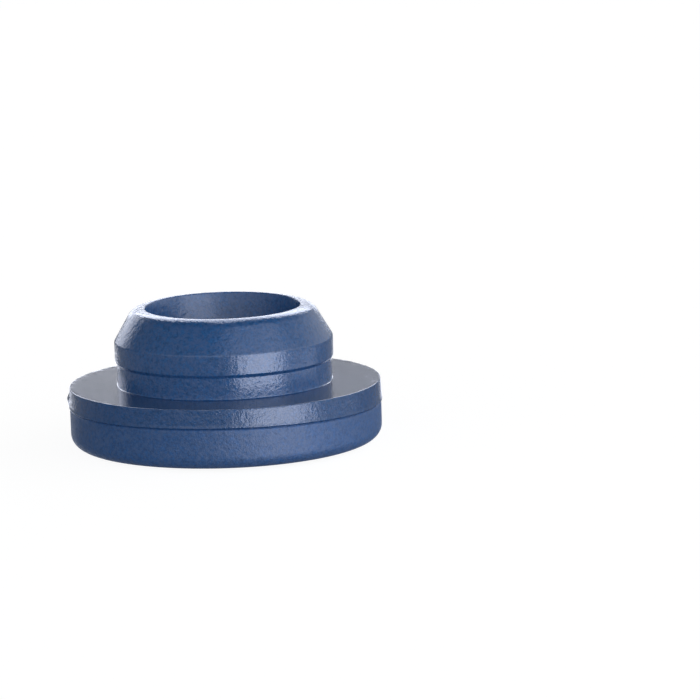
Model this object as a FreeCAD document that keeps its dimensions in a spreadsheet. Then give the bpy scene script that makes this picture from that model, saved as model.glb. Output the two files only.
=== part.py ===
import FreeCAD, Part
import math
import os
import Sketcher

# Serum vial stopper, 20 mm finish, moulded in one piece from blue-grey butyl rubber.
# It stands on the crests of the target ring and ribs of its flange, with the plug up.
# Z is the axis, and Z = 0 is the plane of those crests. All sizes are in millimetres.

NODE = "stopper"

# Driving sizes. Heights on the plug are stacked upwards from the sealing face.
SIZES = [
    ("flange_diameter", 19.0, "trimmed tier, the widest of the stopper"),
    ("flange_thickness", 3.62, "top face to sealing face"),
    ("flange_edge_radius", 0.8, "rounded edge round the top face"),
    ("trimmed_height", 1.2, "tier cut by the trimming die, next to the sealing face"),
    ("trim_step", 0.05, "how far the moulded tier lies inside the trimmed one"),
    ("trim_groove_depth", 0.07, "fine groove where the two tiers meet"),
    ("trim_groove_width", 0.14, "its width along the wall"),
    ("sealing_edge_bevel", 0.08, "broken edge round the sealing face"),
    ("neck_diameter", 13.0, "plug between the sealing face and the step"),
    ("neck_height", 1.2, "sealing face to the foot of the step"),
    ("neck_foot_bevel", 0.12, "slope at the foot of the neck"),
    ("step_height", 0.28, "sloping step from neck to band"),
    ("band_diameter", 13.24, "sealing band, a press fit in the bore of the vial"),
    ("band_height", 1.2, "straight length of the band"),
    ("lead_in_height", 1.98, "cone above the band"),
    ("tip_diameter", 10.96, "cone at the end of the plug, before rounding"),
    ("rim_wall", 0.38, "rubber between cone and hollow at the plug's end, before rounding"),
    ("rim_outer_radius", 0.42, "rounded end of the plug, outer side"),
    ("rim_inner_radius", 0.14, "rounded end of the plug, inner side"),
    ("hollow_floor_diameter", 8.3, "hollow at its floor"),
    ("hollow_floor_radius", 0.9, "fillet round the floor of the hollow"),
    ("septum_thickness", 2.9, "rubber that a needle passes, top face to hollow floor"),
    ("bead_height", 0.25, "ring and ribs above the top face"),
    ("bead_lean", 0.15, "how far each side of the ring and ribs leans in to its crest"),
    ("ring_diameter", 5.1, "middle line of the target ring"),
    ("ring_width", 0.6, "width of the target ring"),
    ("rib_start_radius", 4.1, "inner end of each rib, from the axis"),
    ("rib_end_radius", 7.6, "outer end of each rib, from the axis"),
    ("rib_width", 0.56, "width of each rib"),
    ("rib_count", 4, "ribs round the axis"),
]

# Levels, radii and limited fillets that follow from the driving sizes.
DERIVED = [
    ("top_face_level", "=bead_height"),
    ("sealing_level", "=top_face_level + flange_thickness"),
    ("trim_level", "=sealing_level - trimmed_height"),
    ("groove_low_level", "=trim_level - trim_groove_width / 2"),
    ("groove_high_level", "=trim_level + trim_groove_width / 2"),
    ("step_level", "=sealing_level + neck_height"),
    ("band_level", "=step_level + step_height"),
    ("cone_level", "=band_level + band_height"),
    ("tip_level", "=cone_level + lead_in_height"),
    ("hollow_level", "=top_face_level + septum_thickness"),
    ("plug_root_level", "=sealing_level - flange_thickness / 4"),
    ("bead_root_level", "=top_face_level + flange_thickness / 12"),
    ("flange_outer", "=flange_diameter / 2"),
    ("moulded_outer", "=flange_outer - trim_step"),
    ("groove_outer", "=moulded_outer - trim_groove_depth"),
    ("neck_outer", "=neck_diameter / 2"),
    ("band_outer", "=band_diameter / 2"),
    ("tip_outer", "=tip_diameter / 2"),
    ("mouth_outer", "=tip_outer - rim_wall"),
    ("floor_outer", "=hollow_floor_diameter / 2"),
    ("ring_inner", "=(ring_diameter - ring_width) / 2"),
    ("ring_outer", "=(ring_diameter + ring_width) / 2"),
    ("rib_half", "=rib_width / 2"),
    ("rib_crest_half", "=rib_half - bead_lean"),
    ("rib_first", "=rib_start_radius + rib_half"),
    ("rib_last", "=rib_end_radius - rib_half"),
    ("ring_crest_inner", "=ring_inner + bead_lean"),
    ("ring_crest_outer", "=ring_outer - bead_lean"),
    ("bead_draft", "=atan(bead_lean / bead_height)"),
    ("rim_outer_round", "=min(rim_outer_radius; rim_wall * 1.12)"),
    ("rim_inner_round", "=min(rim_inner_radius; rim_wall * 0.37)"),
]

NEAR = 1e-4

doc = FreeCAD.newDocument("vial_stopper")
sheet = doc.addObject("Spreadsheet::Sheet", "sizes")


def fill_sheet():
    """Write every driving and derived size to the sheet, each under its alias."""
    rows = [(name, str(value), note) for name, value, note in SIZES]
    rows += [(name, formula, "") for name, formula in DERIVED]
    for row, (name, content, note) in enumerate(rows, start=1):
        sheet.set(f"A{row}", name)
        sheet.set(f"B{row}", content)
        sheet.set(f"C{row}", note)
        sheet.setAlias(f"B{row}", name)
    doc.recompute()


def size(name):
    """Value of one cell of the sheet."""
    return float(sheet.get(name))


def cell(name):
    """Expression that reads one cell of the sheet."""
    return f"{sheet.Name}.{name}"


def origin_feature(body, role):
    """The body's own origin plane or axis with this role."""
    for item in body.Origin.OriginFeatures:
        if item.Role == role:
            return item
    raise ValueError(f"no origin feature {role}")


def new_sketch(body, name, role):
    """Sketch on one of the body's own origin planes."""
    sketch = body.newObject("Sketcher::SketchObject", name)
    sketch.AttachmentSupport = [(origin_feature(body, role), "")]
    sketch.MapMode = "FlatFace"
    sketch.Visibility = False
    return sketch


def bind(sketch, label, name):
    """Give the newest constraint a label and tie it to a cell."""
    sketch.renameConstraint(sketch.ConstraintCount - 1, label)
    sketch.setExpression(f"Constraints.{label}", cell(name))


def fix_corner(sketch, index, label, across, up):
    """Fix the start of a line at two cells, or on an axis where the cell is None."""
    ways = ((across, "DistanceX", "across", -2), (up, "DistanceY", "up", -1))
    for name, kind, word, axis in ways:
        if name is None:
            sketch.addConstraint(Sketcher.Constraint("PointOnObject", index, 1, axis))
        else:
            rule = Sketcher.Constraint(kind, -1, 1, index, 1, size(name))
            sketch.addConstraint(rule)
            bind(sketch, f"{label}_{word}", name)


def closed_outline(sketch, corners):
    """Closed outline of straight lines. Each corner is (label, cell across, cell up)."""
    places = []
    for label, across, up in corners:
        x = size(across) if across else 0.0
        y = size(up) if up else 0.0
        places.append(FreeCAD.Vector(x, y, 0))
    count = len(places)
    for k in range(count):
        sketch.addGeometry(Part.LineSegment(places[k], places[(k + 1) % count]), False)
    for k in range(count):
        sketch.addConstraint(Sketcher.Constraint("Coincident", k, 2, (k + 1) % count, 1))
    for k, (label, across, up) in enumerate(corners):
        fix_corner(sketch, k, label, across, up)


def turned(body, kind, name, corners):
    """Revolution or Groove of an outline in the XZ plane, about the Z axis."""
    sketch = new_sketch(body, f"{name}_outline", "XZ_Plane")
    closed_outline(sketch, corners)
    feature = body.newObject(kind, name)
    feature.Profile = sketch
    feature.ReferenceAxis = (sketch, ["V_Axis"])
    feature.Angle = 360.0
    doc.recompute()
    return feature


def make_flange(body):
    """Disc with a moulded tier, the fine trim groove and the trimmed tier above it."""
    turned(body, "PartDesign::Revolution", "flange", [
        ("centre_low", None, "top_face_level"),
        ("edge_low", "moulded_outer", "top_face_level"),
        ("groove_low", "moulded_outer", "groove_low_level"),
        ("groove_deep", "groove_outer", "trim_level"),
        ("groove_high", "flange_outer", "groove_high_level"),
        ("edge_high", "flange_outer", "sealing_level"),
        ("centre_high", None, "sealing_level"),
    ])


def make_plug(body):
    """Neck, step, sealing band and lead-in cone, turned as one form on the flange."""
    turned(body, "PartDesign::Revolution", "plug", [
        ("centre_low", None, "plug_root_level"),
        ("root", "neck_outer", "plug_root_level"),
        ("step_low", "neck_outer", "step_level"),
        ("step_high", "band_outer", "band_level"),
        ("band_top", "band_outer", "cone_level"),
        ("tip", "tip_outer", "tip_level"),
        ("centre_high", None, "tip_level"),
    ])


def make_hollow(body):
    """Tapered hollow in the plug. Its floor is the inner face of the septum."""
    turned(body, "PartDesign::Groove", "hollow", [
        ("floor_centre", None, "hollow_level"),
        ("floor_edge", "floor_outer", "hollow_level"),
        ("mouth_edge", "mouth_outer", "tip_level"),
        ("mouth_centre", None, "tip_level"),
    ])


def make_target_ring(body):
    """Raised ring that marks the middle of the top face."""
    turned(body, "PartDesign::Revolution", "target_ring", [
        ("crest_inner", "ring_crest_inner", None),
        ("crest_outer", "ring_crest_outer", None),
        ("foot_outer", "ring_outer", "top_face_level"),
        ("root_outer", "ring_outer", "bead_root_level"),
        ("root_inner", "ring_inner", "bead_root_level"),
        ("foot_inner", "ring_inner", "top_face_level"),
    ])


def make_ribs(body):
    """Raised radial ribs with round ends, evenly spaced round the axis."""
    sketch = new_sketch(body, "rib_crest_outline", "XY_Plane")
    first, last, half = size("rib_first"), size("rib_last"), size("rib_crest_half")
    point = FreeCAD.Vector
    up = point(0, 0, 1)
    turn = math.pi / 2
    outer_end = Part.Circle(point(last, 0, 0), up, half)
    inner_end = Part.Circle(point(first, 0, 0), up, half)
    sketch.addGeometry(Part.LineSegment(point(first, -half, 0), point(last, -half, 0)), False)
    sketch.addGeometry(Part.ArcOfCircle(outer_end, -turn, turn), False)
    sketch.addGeometry(Part.LineSegment(point(last, half, 0), point(first, half, 0)), False)
    sketch.addGeometry(Part.ArcOfCircle(inner_end, turn, 3 * turn), False)
    for piece in range(4):
        sketch.addConstraint(Sketcher.Constraint("Tangent", piece, 2, (piece + 1) % 4, 1))
    for arc, name in ((1, "rib_last"), (3, "rib_first")):
        sketch.addConstraint(Sketcher.Constraint("PointOnObject", arc, 3, -1))
        sketch.addConstraint(Sketcher.Constraint("DistanceX", -1, 1, arc, 3, size(name)))
        bind(sketch, name, name)
    sketch.addConstraint(Sketcher.Constraint("Radius", 1, half))
    bind(sketch, "rib_crest_end", "rib_crest_half")
    rib = body.newObject("PartDesign::Pad", "rib")
    rib.Profile = sketch
    rib.setExpression("Length", cell("bead_root_level"))
    rib.setExpression("TaperAngle", cell("bead_draft"))
    doc.recompute()
    ribs = body.newObject("PartDesign::PolarPattern", "ribs")
    ribs.Originals = [rib]
    ribs.Axis = (origin_feature(body, "Z_Axis"), [""])
    ribs.Angle = 360.0
    ribs.setExpression("Occurrences", cell("rib_count"))
    body.Tip = ribs
    doc.recompute()


def circle_at(shape, radius, level):
    """Name of the circular edge round the Z axis that has this radius at this level."""
    for index, edge in enumerate(shape.Edges, start=1):
        curve = edge.Curve
        if not isinstance(curve, Part.Circle):
            continue
        centre = curve.Center
        off_axis = math.hypot(centre.x, centre.y)
        gap = max(abs(curve.Radius - radius), abs(centre.z - level), off_axis)
        if gap < NEAR:
            return f"Edge{index}"
    raise ValueError(f"no circle of radius {radius} at {level}")


def work_edge(body, kind, name, amount, outer, level):
    """Fillet or Chamfer on the circle that two cells name, sized by a third cell."""
    base = body.Tip
    edge = circle_at(base.Shape, size(outer), size(level))
    feature = body.newObject(kind, name)
    feature.Base = (base, [edge])
    feature.setExpression("Radius" if kind.endswith("Fillet") else "Size", cell(amount))
    body.Tip = feature
    doc.recompute()


def finish_edges(body):
    """Moulded radii, and the small bevels beside the sealing face."""
    fillet, bevel = "PartDesign::Fillet", "PartDesign::Chamfer"
    work_edge(body, fillet, "rim_outer_edge", "rim_outer_round", "tip_outer", "tip_level")
    work_edge(body, fillet, "rim_inner_edge", "rim_inner_round", "mouth_outer", "tip_level")
    work_edge(body, fillet, "floor_edge", "hollow_floor_radius", "floor_outer", "hollow_level")
    work_edge(body, fillet, "flange_edge", "flange_edge_radius", "moulded_outer", "top_face_level")
    work_edge(body, bevel, "neck_foot", "neck_foot_bevel", "neck_outer", "sealing_level")
    work_edge(body, bevel, "sealing_edge", "sealing_edge_bevel", "flange_outer", "sealing_level")


def make_stopper():
    """The whole stopper as one body."""
    body = doc.addObject("PartDesign::Body", NODE)
    body.Label = NODE
    make_flange(body)
    make_plug(body)
    make_hollow(body)
    make_target_ring(body)
    make_ribs(body)
    finish_edges(body)
    return body


def check_document():
    """Stop if any object failed to compute."""
    for item in doc.Objects:
        if "Invalid" in item.State or "Error" in item.State:
            raise ValueError(f"{item.Name} failed: {item.State}")


def write_part(body):
    """Write the body's one closed solid to its file."""
    shape = body.Shape
    if shape.isNull() or not shape.isValid() or len(shape.Solids) != 1:
        raise ValueError(f"{body.Label} is not one valid solid")
    os.makedirs("parts", exist_ok=True)
    shape.exportStep(os.path.join("parts", f"{body.Label}.step"))
    print(body.Label, "volume", round(shape.Volume, 3), "box", shape.BoundBox)


fill_sheet()
stopper = make_stopper()
check_document()
write_part(stopper)
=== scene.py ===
import math

import bpy
from mathutils import Matrix, Vector, noise


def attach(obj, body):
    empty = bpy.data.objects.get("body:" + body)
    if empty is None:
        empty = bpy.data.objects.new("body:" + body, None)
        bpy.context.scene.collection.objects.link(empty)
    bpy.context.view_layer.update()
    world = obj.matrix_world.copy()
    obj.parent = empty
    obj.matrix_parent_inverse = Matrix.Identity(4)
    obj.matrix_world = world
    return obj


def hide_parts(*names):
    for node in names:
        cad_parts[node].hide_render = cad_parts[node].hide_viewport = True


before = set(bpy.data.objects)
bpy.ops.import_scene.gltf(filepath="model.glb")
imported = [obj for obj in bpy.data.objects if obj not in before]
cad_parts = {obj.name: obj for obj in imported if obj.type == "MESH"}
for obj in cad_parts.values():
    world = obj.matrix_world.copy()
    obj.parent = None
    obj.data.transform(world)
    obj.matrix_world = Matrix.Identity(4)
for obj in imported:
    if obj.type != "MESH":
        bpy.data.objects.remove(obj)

# Serum vial stopper in blue-grey butyl rubber, standing on the beads of its top face.
# Sizes are in millimetres and angles in degrees. MM turns millimetres into the frame's metres.
MM = 0.001

# Levels above the crests of the target ring and ribs, and radii from the axis.
TOP_FACE = 0.25
SEALING_FACE = 3.87
PLUG_STEP = 5.2
BAND_FOOT = 5.35
CONE_FOOT = 6.55
PLUG_END = 8.5
HOLLOW_FLOOR = 3.15
FLANGE_RADIUS = 9.5
MOULDED_RADIUS = 9.45
NECK_RADIUS = 6.5
BAND_RADIUS = 6.62
PLUG_END_RADIUS = 5.48
MOUTH_RADIUS = 4.84
THROAT_RADIUS = 4.46
THROAT_LEVEL = 6.5
THROAT_ROUND = 2.0
FLOOR_RADIUS = 4.15

# Roundings of the edges between them.
TOP_EDGE_ROUND = 0.8
RIM_OUTER_ROUND = 0.95
RIM_INNER_ROUND = 0.12
RIM_CROWN = 0.03
FLOOR_ROUND = 0.9
NECK_FOOT_ROUND = 0.08
STEP_ROUND = 0.15
CONE_FOOT_ROUND = 0.25

# The plug's end isn't quite square to the axis: this much rise for each millimetre.
END_SLOPE = 0.006

# The mouth is a little oval: this much narrower to the sides and wider to front and back.
MOUTH_OVAL = 0.12

# The trimming die leaves a fine groove under a thin lip, a little askew. The tier above the
# lip leans in towards the edge of the sealing face.
TRIM_LEVEL = 2.615
TRIM_TILT = 0.06
TRIM_WAVE = 0.08
TRIM_REACH = 0.3
TRIM_RIPPLE = 0.012
SHOULDER_LEVEL = TRIM_LEVEL - 0.075
SHOULDER_ROUND = 0.13
GROOVE_RADIUS = 9.38
GROOVE_LEVEL = TRIM_LEVEL - 0.02
GROOVE_ROUND = 0.012
LIP_RADIUS = 9.515
LIP_LEVEL = TRIM_LEVEL + 0.08
LIP_ROUND = 0.03
TRIMMED_RADIUS = 9.49
TRIMMED_LEVEL = TRIM_LEVEL + 0.24
TRIMMED_ROUND = 0.2
FACE_EDGE_RADIUS = 9.425
FACE_EDGE_ROUND = 0.055
FACE_EDGE_RIPPLE = 0.016
FACE_WAVE = 0.006

# A scrap of rubber that the die left at the left, and a small nick in the face's right edge.
NUB_ANGLE = 179.0
NUB_HALF_ANGLE = 6.0
NUB_LEVEL = 3.07
NUB_HALF_HEIGHT = 0.5
NUB_DEPTH = 0.14
NICK_ANGLE = -11.6
NICK_HALF_ANGLE = 1.3
NICK_RADIUS = 9.12
NICK_HALF_WIDTH = 0.17
NICK_DEPTH = 0.02

# The moulding is out of round by this share of its radius, widest at this angle.
OUT_OF_ROUND = 0.0011
WIDEST_ANGLE = -20.0

# Ring and ribs of the top face.
BEAD_HEIGHT = 0.25
BEAD_FLANK = 0.17
RING_RADIUS = 2.55
RING_HALF_WIDTH = 0.3
RIB_FIRST = 4.38
RIB_LAST = 7.32
RIB_HALF_WIDTH = 0.28
RIB_COUNT = 4


def smooth(value, low, high):
    """0 below low, 1 above high, and a smooth climb between them."""
    t = min(max((value - low) / (high - low), 0.0), 1.0)
    return t * t * (3.0 - 2.0 * t)


def hump(value, half_width):
    """Smooth hump that is 1 at 0 and falls to 0 at half_width."""
    return 1.0 - smooth(abs(value), 0.0, half_width)


def turn_from(angle, middle):
    """Signed angle from middle to angle, within half a turn."""
    return (angle - middle + 180.0) % 360.0 - 180.0


def ripple(angle, level, size, seed):
    """Smooth irregularity along a wall, from about -1 to 1, with waves of this size."""
    turn = math.radians(angle)
    reach = FLANGE_RADIUS / size
    place = Vector((reach * math.cos(turn), reach * math.sin(turn), level / size + seed))
    return noise.noise(place)


class Corner:
    """One corner of the outline, with its rounding and the run that leads on from it."""

    def __init__(self, radius, level, rounding, zone, step):
        self.place = Vector((radius, level))
        self.rounding = rounding
        self.zone = zone
        self.step = step


def arc_points(before, corner, after):
    """Points of the rounding at a corner, from one tangent point to the other."""
    into = (corner.place - before.place).normalized()
    out = (after.place - corner.place).normalized()
    bend = math.acos(max(-1.0, min(1.0, into.dot(out))))
    if corner.rounding == 0 or bend < 0.01:
        return [corner.place]
    reach = corner.rounding * math.tan(bend / 2.0)
    side = 1.0 if into.x * out.y - into.y * out.x > 0 else -1.0
    start = corner.place - into * reach
    across = Vector((-into.y, into.x)) * side
    centre = start + across * corner.rounding
    pieces = max(3, math.ceil(math.degrees(bend) / 9.0))
    points = []
    for k in range(pieces + 1):
        turn = bend * k / pieces
        spoke = into * math.sin(turn) - across * math.cos(turn)
        points.append(centre + spoke * corner.rounding)
    return points


def run_points(start, end, step):
    """Points between two places, at most a step apart, without the two themselves."""
    length = (end - start).length
    count = max(1, math.ceil(length / step))
    return [start.lerp(end, k / count) for k in range(1, count)]


def top_face_stations(end):
    """Radii of the rings on the top face, close together where the beads are."""
    ring_foot = RING_RADIUS - RING_HALF_WIDTH
    ring_end = RING_RADIUS + RING_HALF_WIDTH
    rib_foot = RIB_FIRST - RIB_HALF_WIDTH
    rib_end = RIB_LAST + RIB_HALF_WIDTH
    stretches = [
        (0.0, ring_foot - 0.05, 0.32),
        (ring_foot - 0.05, ring_end + 0.05, 0.05),
        (ring_end + 0.05, rib_foot - 0.04, 0.2),
        (rib_foot - 0.04, RIB_FIRST, 0.045),
        (RIB_FIRST, RIB_LAST, 0.15),
        (RIB_LAST, rib_end + 0.04, 0.045),
        (rib_end + 0.04, end, 0.2),
    ]
    radii = []
    for low, high, step in stretches:
        count = max(1, math.ceil((high - low) / step))
        radii += [low + (high - low) * k / count for k in range(count)]
    return radii


def stopper_corners():
    """Corners of the outline, from the middle of the top face to the hollow's floor."""
    return [
        Corner(0.0, TOP_FACE, 0, "moulded", 1.0),
        Corner(MOULDED_RADIUS, TOP_FACE, TOP_EDGE_ROUND, "moulded", 0.24),
        Corner(MOULDED_RADIUS, SHOULDER_LEVEL, SHOULDER_ROUND, "moulded", 0.05),
        Corner(GROOVE_RADIUS, GROOVE_LEVEL, GROOVE_ROUND, "trimmed", 0.05),
        Corner(LIP_RADIUS, LIP_LEVEL, LIP_ROUND, "trimmed", 0.05),
        Corner(TRIMMED_RADIUS, TRIMMED_LEVEL, TRIMMED_ROUND, "trimmed", 0.1),
        Corner(FACE_EDGE_RADIUS, SEALING_FACE, FACE_EDGE_ROUND, "sealing", 0.25),
        Corner(NECK_RADIUS, SEALING_FACE, NECK_FOOT_ROUND, "plug", 0.2),
        Corner(NECK_RADIUS, PLUG_STEP, STEP_ROUND, "plug", 0.1),
        Corner(BAND_RADIUS, BAND_FOOT, STEP_ROUND, "plug", 0.2),
        Corner(BAND_RADIUS, CONE_FOOT, CONE_FOOT_ROUND, "plug", 0.24),
        Corner(PLUG_END_RADIUS, PLUG_END, RIM_OUTER_ROUND, "plug", 0.06),
        Corner(MOUTH_RADIUS, PLUG_END + RIM_CROWN, RIM_INNER_ROUND, "hollow", 0.25),
        Corner(THROAT_RADIUS, THROAT_LEVEL, THROAT_ROUND, "hollow", 0.4),
        Corner(FLOOR_RADIUS, HOLLOW_FLOOR, FLOOR_ROUND, "hollow", 0.4),
        Corner(0.0, HOLLOW_FLOOR, 0, "hollow", 0.4),
    ]


def stopper_outline():
    """Rings of the outline as (radius, level, zone of the band that leads on from it)."""
    corners = stopper_corners()
    rounds = [[corners[0].place]]
    for before, corner, after in zip(corners, corners[1:], corners[2:]):
        rounds.append(arc_points(before, corner, after))
    rounds.append([corners[-1].place])
    first_end = rounds[1][0].x
    rings = [(radius, TOP_FACE, "moulded") for radius in top_face_stations(first_end)]
    for k in range(1, len(corners)):
        corner = corners[k]
        before = corners[k - 1].zone
        points = rounds[k]
        for index, point in enumerate(points):
            zone = before if index < len(points) // 2 else corner.zone
            rings.append((point.x, point.y, zone))
        if k + 1 < len(corners):
            for point in run_points(points[-1], rounds[k + 1][0], corner.step):
                rings.append((point.x, point.y, corner.zone))
    return rings


def column_angles():
    """Angles of the mesh's columns, close together at the ribs and at the worked spots."""
    quarter = 360.0 / RIB_COUNT
    angles = []
    angle = 0.0
    while angle < 359.99:
        near_rib = abs(turn_from(angle % quarter * RIB_COUNT, 0.0)) / RIB_COUNT < 4.4
        near_nick = -15.0 < turn_from(angle, 0.0) < -4.0
        angles.append(angle)
        angle = round(angle + (0.35 if near_rib or near_nick else 1.25), 4)
    return angles


def bead_relief(x, y):
    """Height of the target ring and ribs above the top face, at a place on it."""
    radius = math.hypot(x, y)
    angle = math.degrees(math.atan2(y, x))
    quarter = 360.0 / RIB_COUNT
    aside = turn_from(angle % quarter * RIB_COUNT, 0.0) / RIB_COUNT
    along = radius * math.cos(math.radians(aside))
    across = radius * math.sin(math.radians(aside))
    beyond = max(RIB_FIRST - along, along - RIB_LAST, 0.0)
    to_rib = math.hypot(beyond, across)
    to_ring = abs(radius - RING_RADIUS)
    rib = smooth(RIB_HALF_WIDTH - to_rib, 0.0, BEAD_FLANK)
    ring = smooth(RING_HALF_WIDTH - to_ring, 0.0, BEAD_FLANK)
    worn = 0.035 * max(0.0, noise.noise(Vector((x * 2.2, y * 2.2, 4.0))))
    return (BEAD_HEIGHT - worn) * max(rib, ring)


def trim_shift(angle):
    """How far the trim line lies above its mean level, at an angle round the axis."""
    turn = math.radians(angle)
    askew = TRIM_TILT * math.cos(turn) + TRIM_WAVE * math.cos(2 * turn)
    return -askew + TRIM_RIPPLE * ripple(angle, 0.0, 0.7, 9.0)


def worked_place(radius, level, angle):
    """Place of one vertex, with the marks that moulding and trimming leave."""
    trim = TRIM_LEVEL
    outer = smooth(radius, 9.2, 9.36)
    if radius > 9.2 and level < SEALING_FACE - 0.02:
        below = smooth(level, 1.1, trim - 0.15)
        above = 1.0 - smooth(level, trim + 0.25, SEALING_FACE - 0.16)
        level += trim_shift(angle) * min(below, above)
    near_trim = hump(level - trim, TRIM_REACH) * outer
    radius += TRIM_RIPPLE * near_trim * ripple(angle, level, 0.3, 3.0)
    nub = hump(turn_from(angle, NUB_ANGLE), NUB_HALF_ANGLE) * outer
    radius += NUB_DEPTH * nub * hump(level - NUB_LEVEL, NUB_HALF_HEIGHT)
    edge = smooth(radius, 9.1, 9.3) * smooth(level, SEALING_FACE - 0.25, SEALING_FACE - 0.05)
    level += FACE_EDGE_RIPPLE * edge * ripple(angle, radius, 0.45, 6.0)
    nick = hump(turn_from(angle, NICK_ANGLE), NICK_HALF_ANGLE)
    nick *= hump(radius - NICK_RADIUS, NICK_HALF_WIDTH)
    if level > SEALING_FACE - 0.2:
        level -= NICK_DEPTH * nick
    if radius > 6.9 and abs(level - SEALING_FACE) < 0.05:
        level += FACE_WAVE * ripple(angle, radius * 0.3, 3.5, 2.0)
    radius *= 1.0 + OUT_OF_ROUND * math.cos(math.radians(2 * (angle - WIDEST_ANGLE)))
    turn = math.radians(angle)
    at_mouth = smooth(level, 6.6, 8.3) * (1.0 - smooth(radius, 4.9, 5.3))
    radius -= MOUTH_OVAL * math.cos(2 * turn) * at_mouth
    x = radius * math.cos(turn)
    y = radius * math.sin(turn)
    level += END_SLOPE * y * smooth(level, 7.2, 8.3)
    if level < TOP_FACE + 0.001:
        level -= bead_relief(x, y)
    return Vector((x, y, level)) * MM


def make_stopper_mesh():
    """Mesh of the whole stopper, with a list of the zone of each face."""
    rings = stopper_outline()
    angles = column_angles()
    count = len(angles)
    vertices = [Vector((0.0, 0.0, TOP_FACE)) * MM]
    for radius, level, _ in rings[1:-1]:
        vertices += [worked_place(radius, level, angle) for angle in angles]
    vertices.append(Vector((0.0, 0.0, HOLLOW_FLOOR)) * MM)
    last = len(vertices) - 1
    faces = []
    zones = []
    for k in range(len(rings) - 1):
        low = 1 + (k - 1) * count
        high = low + count
        for j in range(count):
            following = (j + 1) % count
            if k == 0:
                faces.append((0, high + following, high + j))
            elif k == len(rings) - 2:
                faces.append((low + j, low + following, last))
            else:
                faces.append((low + j, low + following, high + following, high + j))
            zones.append(rings[k][2])
    mesh = bpy.data.meshes.new("stopper_rubber")
    mesh.from_pydata(vertices, [], faces)
    return mesh, zones


class Value:
    """A socket of a shader. Arithmetic on it adds Math nodes."""

    def __init__(self, graph, socket):
        self.graph = graph
        self.socket = socket

    def math(self, operation, *operands):
        """Result of a Math node on these operands."""
        sockets = dict(enumerate(operands))
        return self.graph.add("ShaderNodeMath", {"operation": operation}, sockets)

    def __add__(self, other):
        return self.math("ADD", self, other)

    def __radd__(self, other):
        return self.math("ADD", other, self)

    def __sub__(self, other):
        return self.math("SUBTRACT", self, other)

    def __rsub__(self, other):
        return self.math("SUBTRACT", other, self)

    def __mul__(self, other):
        return self.math("MULTIPLY", self, other)

    def __rmul__(self, other):
        return self.math("MULTIPLY", other, self)

    def raised(self, low, high):
        """0 below low, 1 above high, and a smooth climb between them."""
        sockets = {"Value": self, "From Min": low, "From Max": high}
        ways = {"interpolation_type": "SMOOTHSTEP"}
        return self.graph.add("ShaderNodeMapRange", ways, sockets)


class Graph:
    """The nodes of one material or of the world."""

    def __init__(self, owner):
        owner.use_nodes = True
        self.tree = owner.node_tree
        self.tree.nodes.clear()

    def add(self, kind, settings, sockets, output=0):
        """New node: its settings first, then the values or links of its sockets."""
        node = self.tree.nodes.new(kind)
        for name, value in settings.items():
            setattr(node, name, value)
        for name, value in sockets.items():
            if isinstance(value, Value):
                self.tree.links.new(value.socket, node.inputs[name])
            else:
                node.inputs[name].default_value = value
        return Value(self, node.outputs[output] if node.outputs else None)

    def place(self):
        """Place on the object, in metres."""
        return self.add("ShaderNodeTexCoord", {}, {}, "Object")

    def scaled(self, place, x, y, z):
        """Place with each axis multiplied."""
        ways = {"operation": "MULTIPLY"}
        return self.add("ShaderNodeVectorMath", ways, {0: place, 1: (x, y, z)})

    def grain(self, place, size, detail=2.0, roughness=0.5, seed=0.0):
        """Noise from 0 to 1 whose lumps are about this many millimetres wide."""
        ways = {"noise_dimensions": "4D"}
        sockets = {"Vector": place, "W": seed, "Scale": 1.0 / (size * MM)}
        sockets |= {"Detail": detail, "Roughness": roughness}
        return self.add("ShaderNodeTexNoise", ways, sockets)

    def specks(self, place, spacing, seed):
        """Distance to the nearest of scattered points, as a share of their spacing."""
        ways = {"voronoi_dimensions": "4D"}
        sockets = {"Vector": place, "W": seed, "Scale": 1.0 / (spacing * MM)}
        return self.add("ShaderNodeTexVoronoi", ways, sockets, "Distance")

    def blend(self, factor, first, second):
        """Colour between two colours."""
        ways = {"data_type": "RGBA"}
        return self.add("ShaderNodeMix", ways, {0: factor, 6: first, 7: second}, 2)

    def bump(self, height, distance, normal=None):
        """Normal of a surface whose height, from 0 to 1, is worth this many millimetres."""
        sockets = {"Height": height, "Distance": distance * MM, "Strength": 1.0}
        if normal is not None:
            sockets["Normal"] = normal
        return self.add("ShaderNodeBump", {}, sockets)


def colour(red, green, blue):
    """Opaque linear colour."""
    return (red, green, blue, 1.0)


MOULDED_BLUE = colour(0.018, 0.112, 0.345)
MOULDED_SLATE = colour(0.046, 0.114, 0.285)
SMOOTH_BLUE = colour(0.024, 0.130, 0.372)
SMOOTH_SLATE = colour(0.056, 0.126, 0.306)
FACE_BLUE = colour(0.018, 0.088, 0.262)
FACE_SLATE = colour(0.040, 0.086, 0.216)
CUT_BLUE = colour(0.012, 0.096, 0.300)
CUT_SLATE = colour(0.032, 0.092, 0.246)
RUBBER_IOR = 1.52


def rubber(name, body, cloud, roughness, height):
    """Principled rubber: two close tones, and a roughness and a height that vary."""
    material = bpy.data.materials.new(name)
    graph = Graph(material)
    place = graph.place()
    patches = graph.grain(place, 0.24, 3.0, 0.8, 1.0).raised(0.4, 0.62)
    dust = graph.grain(place, 0.15, 2.0, 0.7, 4.0).raised(0.35, 0.65)
    dim = graph.blend(0.4, body, colour(0.0, 0.0, 0.0))
    tone = graph.blend(patches, graph.blend(dust, dim, body), cloud)
    sockets = {
        "Base Color": tone,
        "Roughness": roughness(graph, place),
        "IOR": RUBBER_IOR,
        "Normal": height(graph, place),
    }
    shader = graph.add("ShaderNodeBsdfPrincipled", {}, sockets)
    graph.add("ShaderNodeOutputMaterial", {}, {"Surface": shader})
    return material


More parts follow.
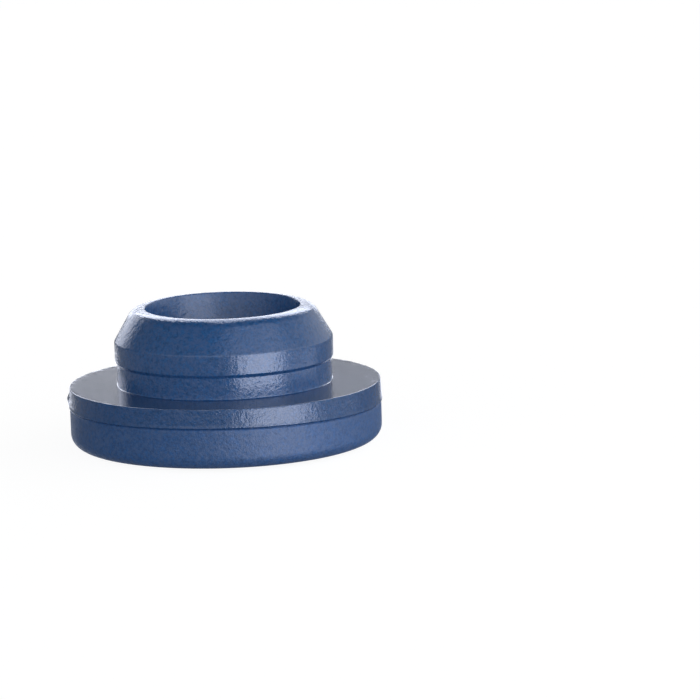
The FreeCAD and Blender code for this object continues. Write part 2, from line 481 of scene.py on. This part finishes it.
def moulded_roughness(graph, place):
    """Matt skin that a blasted mould leaves."""
    return 0.43 + graph.grain(place, 0.3, 2.0, 0.5, 5.0) * 0.14


def moulded_height(graph, place):
    """Fine blasted grain under a few broad undulations."""
    fine = graph.grain(place, 0.15, 3.0, 0.7, 2.0)
    broad = graph.grain(place, 0.6, 2.0, 0.5, 3.0)
    specks = 1 - graph.specks(place, 0.7, 2.5).raised(0.05, 0.16)
    relief = graph.bump(broad, 0.03, graph.bump(specks, 0.03))
    return graph.bump(fine, 0.04, relief)


def smooth_roughness(graph, place):
    """Polished mould skin, dulled in small patches."""
    return 0.12 + graph.grain(place, 0.22, 3.0, 0.6, 6.0) * 0.14


def smooth_height(graph, place):
    """Orange peel of a polished mould."""
    peel = graph.grain(place, 0.3, 2.0, 0.55, 7.0)
    fine = graph.grain(place, 0.12, 2.0, 0.6, 8.0)
    return graph.bump(fine, 0.018, graph.bump(peel, 0.03))


def cut_roughness(graph, place):
    """Cut rubber, glossier than the mould skin."""
    return 0.13 + graph.grain(place, 0.2, 3.0, 0.6, 9.0) * 0.12


def cut_height(graph, place):
    """Mottled drag marks of the trimming die."""
    drag = graph.grain(graph.scaled(place, 1.0, 1.0, 0.8), 0.26, 3.0, 0.6, 10.0)
    fine = graph.grain(place, 0.12, 2.0, 0.6, 11.0)
    return graph.bump(fine, 0.018, graph.bump(drag, 0.036))


def face_roughness(graph, place):
    """Sealing face, the glossiest skin of the stopper."""
    return 0.09 + graph.grain(place, 0.3, 3.0, 0.6, 12.0) * 0.12


def face_height(graph, place):
    """Nearly flat, with faint waves and a few pinholes."""
    waves = graph.grain(place, 1.4, 2.0, 0.5, 13.0)
    fine = graph.grain(place, 0.15, 2.0, 0.5, 15.0)
    pits = graph.specks(place, 1.1, 14.0).raised(0.03, 0.1)
    return graph.bump(pits, 0.02, graph.bump(fine, 0.0014, graph.bump(waves, 0.006)))


def make_stopper():
    """The stopper as one piece, with one finish for each zone of its surface."""
    mesh, zones = make_stopper_mesh()
    finishes = {
        "moulded": rubber(
            "moulded_rubber", MOULDED_BLUE, MOULDED_SLATE, moulded_roughness, moulded_height
        ),
        "trimmed": rubber("trimmed_rubber", CUT_BLUE, CUT_SLATE, cut_roughness, cut_height),
        "sealing": rubber(
            "sealing_face_rubber", FACE_BLUE, FACE_SLATE, face_roughness, face_height
        ),
        "plug": rubber(
            "plug_rubber", SMOOTH_BLUE, SMOOTH_SLATE, smooth_roughness, smooth_height
        ),
        "hollow": rubber(
            "hollow_rubber", SMOOTH_BLUE, SMOOTH_SLATE, smooth_roughness, smooth_height
        ),
    }
    order = list(finishes)
    for name in order:
        mesh.materials.append(finishes[name])
    mesh.polygons.foreach_set("material_index", [order.index(zone) for zone in zones])
    mesh.polygons.foreach_set("use_smooth", [True] * len(zones))
    mesh.update()
    piece = bpy.data.objects.new("stopper_moulding", mesh)
    bpy.context.scene.collection.objects.link(piece)
    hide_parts("stopper")
    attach(piece, "root")
    return piece


# The camera looks at the sealing face's middle, then turns by the yaw, pitch and roll.
CAMERA_DISTANCE = 208.0
CAMERA_ELEVATION = 10.349
CAMERA_YAW = 2.108
CAMERA_PITCH = 0.4385
CAMERA_ROLL = -2.019
FRAME_PIXELS = 700
FOCAL_PIXELS = 3420.57
SENSOR_WIDTH = 36.0


def make_camera():
    """Camera at the photograph's angle."""
    rise = math.radians(CAMERA_ELEVATION)
    back = Vector((0.0, -math.cos(rise), math.sin(rise)))
    aim = Vector((0.0, 0.0, SEALING_FACE))
    ahead = -back
    right = Vector((1.0, 0.0, 0.0))
    up = right.cross(ahead)
    yaw = math.radians(CAMERA_YAW)
    ahead, right = (
        ahead * math.cos(yaw) + right * math.sin(yaw),
        right * math.cos(yaw) - ahead * math.sin(yaw),
    )
    pitch = math.radians(CAMERA_PITCH)
    ahead, up = (
        ahead * math.cos(pitch) + up * math.sin(pitch),
        up * math.cos(pitch) - ahead * math.sin(pitch),
    )
    roll = math.radians(CAMERA_ROLL)
    right, up = (
        right * math.cos(roll) + up * math.sin(roll),
        up * math.cos(roll) - right * math.sin(roll),
    )
    data = bpy.data.cameras.new("photo_camera")
    data.sensor_width = SENSOR_WIDTH
    data.lens = FOCAL_PIXELS * SENSOR_WIDTH / FRAME_PIXELS
    data.clip_start = 0.01
    data.clip_end = 20.0
    camera = bpy.data.objects.new("photo_camera", data)
    bpy.context.scene.collection.objects.link(camera)
    turn = Matrix((right, up, -ahead)).transposed().to_4x4()
    where = (aim + back * CAMERA_DISTANCE) * MM
    camera.matrix_world = Matrix.Translation(where) @ turn
    bpy.context.scene.camera = camera


# Soft panels round the stopper, seen in the rubber's gloss alone. The world gives the plain
# light. Azimuths run from the camera to its right, elevations from the horizon.
PANEL_DISTANCE = 400.0


class Panel:
    """One soft panel: where it spans from and to, and how bright it looks."""

    def __init__(self, name, azimuths, elevations, radiance):
        self.name = name
        self.azimuths = azimuths
        self.elevations = elevations
        self.radiance = radiance


PANELS = [
    Panel("key_low", (14.0, 62.0), (-22.0, 3.0), 6.8),
    Panel("key_middle", (14.0, 66.0), (3.0, 20.0), 1.8),
    Panel("key_high", (5.0, 80.0), (20.0, 62.0), 1.2),
    Panel("backdrop_left", (-166.0, -134.0), (2.0, 26.0), 2.4),
    Panel("backdrop_low_right", (162.0, 180.0), (-1.0, 6.0), 3.2),
    Panel("backdrop_low_left", (180.0, 198.0), (-1.0, 7.6), 3.0),
    Panel("backdrop_high", (150.0, 205.0), (17.0, 58.0), 5.6),
    Panel("backdrop_top", (158.0, 198.0), (58.0, 76.0), 5.0),
    Panel("table_behind", (164.0, 206.0), (-28.0, -10.0), 2.3),
    Panel("table_right", (66.0, 112.0), (-24.0, -8.0), 1.7),
]
PANEL_COLOUR = (0.83, 0.87, 1.0)

# Plain light: this much on average near the horizon, and this much more from the key's side.
PLAIN_MEAN = 0.95
PLAIN_SWING = 0.85
PLAIN_SIDE = 45.0
PLAIN_BELOW = 0.3


def make_panel(panel):
    """Area lamp that faces the stopper and spans the panel's angles."""
    turn = math.radians(sum(panel.azimuths) / 2)
    rise = math.radians(sum(panel.elevations) / 2)
    half_across = math.radians(panel.azimuths[1] - panel.azimuths[0]) / 2
    half_up = math.radians(panel.elevations[1] - panel.elevations[0]) / 2
    reach = PANEL_DISTANCE * MM
    width = 2 * reach * math.tan(half_across * math.cos(rise))
    height = 2 * reach * math.tan(half_up)
    data = bpy.data.lights.new(panel.name, "AREA")
    data.shape = "RECTANGLE"
    data.size = width
    data.size_y = height
    data.energy = panel.radiance * math.pi * width * height
    data.color = PANEL_COLOUR
    lamp = bpy.data.objects.new(panel.name, data)
    bpy.context.scene.collection.objects.link(lamp)
    toward = Vector((
        math.sin(turn) * math.cos(rise),
        -math.cos(turn) * math.cos(rise),
        math.sin(rise),
    ))
    lamp.location = toward * reach + Vector((0.0, 0.0, SEALING_FACE * MM))
    lamp.rotation_euler = (math.pi / 2 - rise, 0.0, turn)
    lamp.visible_camera = False
    lamp.visible_diffuse = False


def make_world():
    """White to the camera, and a plain light that is stronger on the key's side."""
    world = bpy.data.worlds.new("studio")
    bpy.context.scene.world = world
    graph = Graph(world)
    seen = graph.add("ShaderNodeLightPath", {}, {}, "Is Camera Ray")
    look = graph.add("ShaderNodeTexCoord", {}, {}, "Generated")
    side = math.radians(PLAIN_SIDE)
    to_key = (math.sin(side), -math.cos(side), 0.0)
    ways = {"operation": "DOT_PRODUCT"}
    facing = graph.add("ShaderNodeVectorMath", ways, {0: look, 1: to_key}, "Value")
    rise = graph.add("ShaderNodeSeparateXYZ", {}, {0: look}, "Z")
    above = rise.raised(-0.01, 0.01)
    level = (PLAIN_MEAN + facing * PLAIN_SWING) * (1 - rise.raised(0.2, 0.95))
    plain = above * level + (1 - above) * PLAIN_BELOW
    strength = seen + (1 - seen) * plain
    sockets = {"Color": colour(0.97, 0.98, 1.0), "Strength": strength}
    background = graph.add("ShaderNodeBackground", {}, sockets)
    graph.add("ShaderNodeOutputWorld", {}, {"Surface": background})


FLOOR_HALF_SIDE = 3000.0
FLOOR_GLOW = 0.93
FLOOR_SHARE = 0.22


def make_floor():
    """Plain pale floor. Camera rays see it near white, with the stopper's soft shadow."""
    material = bpy.data.materials.new("pale_floor")
    graph = Graph(material)
    seen = graph.add("ShaderNodeLightPath", {}, {}, "Is Camera Ray")
    card = graph.add("ShaderNodeBsdfDiffuse", {}, {"Color": colour(0.8, 0.8, 0.8)})
    shade_only = colour(FLOOR_SHARE, FLOOR_SHARE, FLOOR_SHARE)
    shade = graph.add("ShaderNodeBsdfDiffuse", {}, {"Color": shade_only})
    sockets = {"Color": colour(1.0, 1.0, 1.0), "Strength": FLOOR_GLOW}
    glow = graph.add("ShaderNodeEmission", {}, sockets)
    white = graph.add("ShaderNodeAddShader", {}, {0: glow, 1: shade})
    surface = graph.add("ShaderNodeMixShader", {}, {0: seen, 1: card, 2: white})
    graph.add("ShaderNodeOutputMaterial", {}, {"Surface": surface})
    reach = FLOOR_HALF_SIDE * MM
    corners = [(-reach, -reach, 0), (reach, -reach, 0), (reach, reach, 0), (-reach, reach, 0)]
    mesh = bpy.data.meshes.new("floor")
    mesh.from_pydata(corners, [], [(0, 1, 2, 3)])
    mesh.materials.append(material)
    floor = bpy.data.objects.new("floor", mesh)
    bpy.context.scene.collection.objects.link(floor)
    floor.visible_glossy = False
    floor.visible_shadow = False


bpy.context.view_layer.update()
make_camera()
for panel in PANELS:
    make_panel(panel)
make_world()
make_floor()
make_stopper()
bpy.context.scene.view_settings.view_transform = "Standard"

bpy.context.view_layer.update()
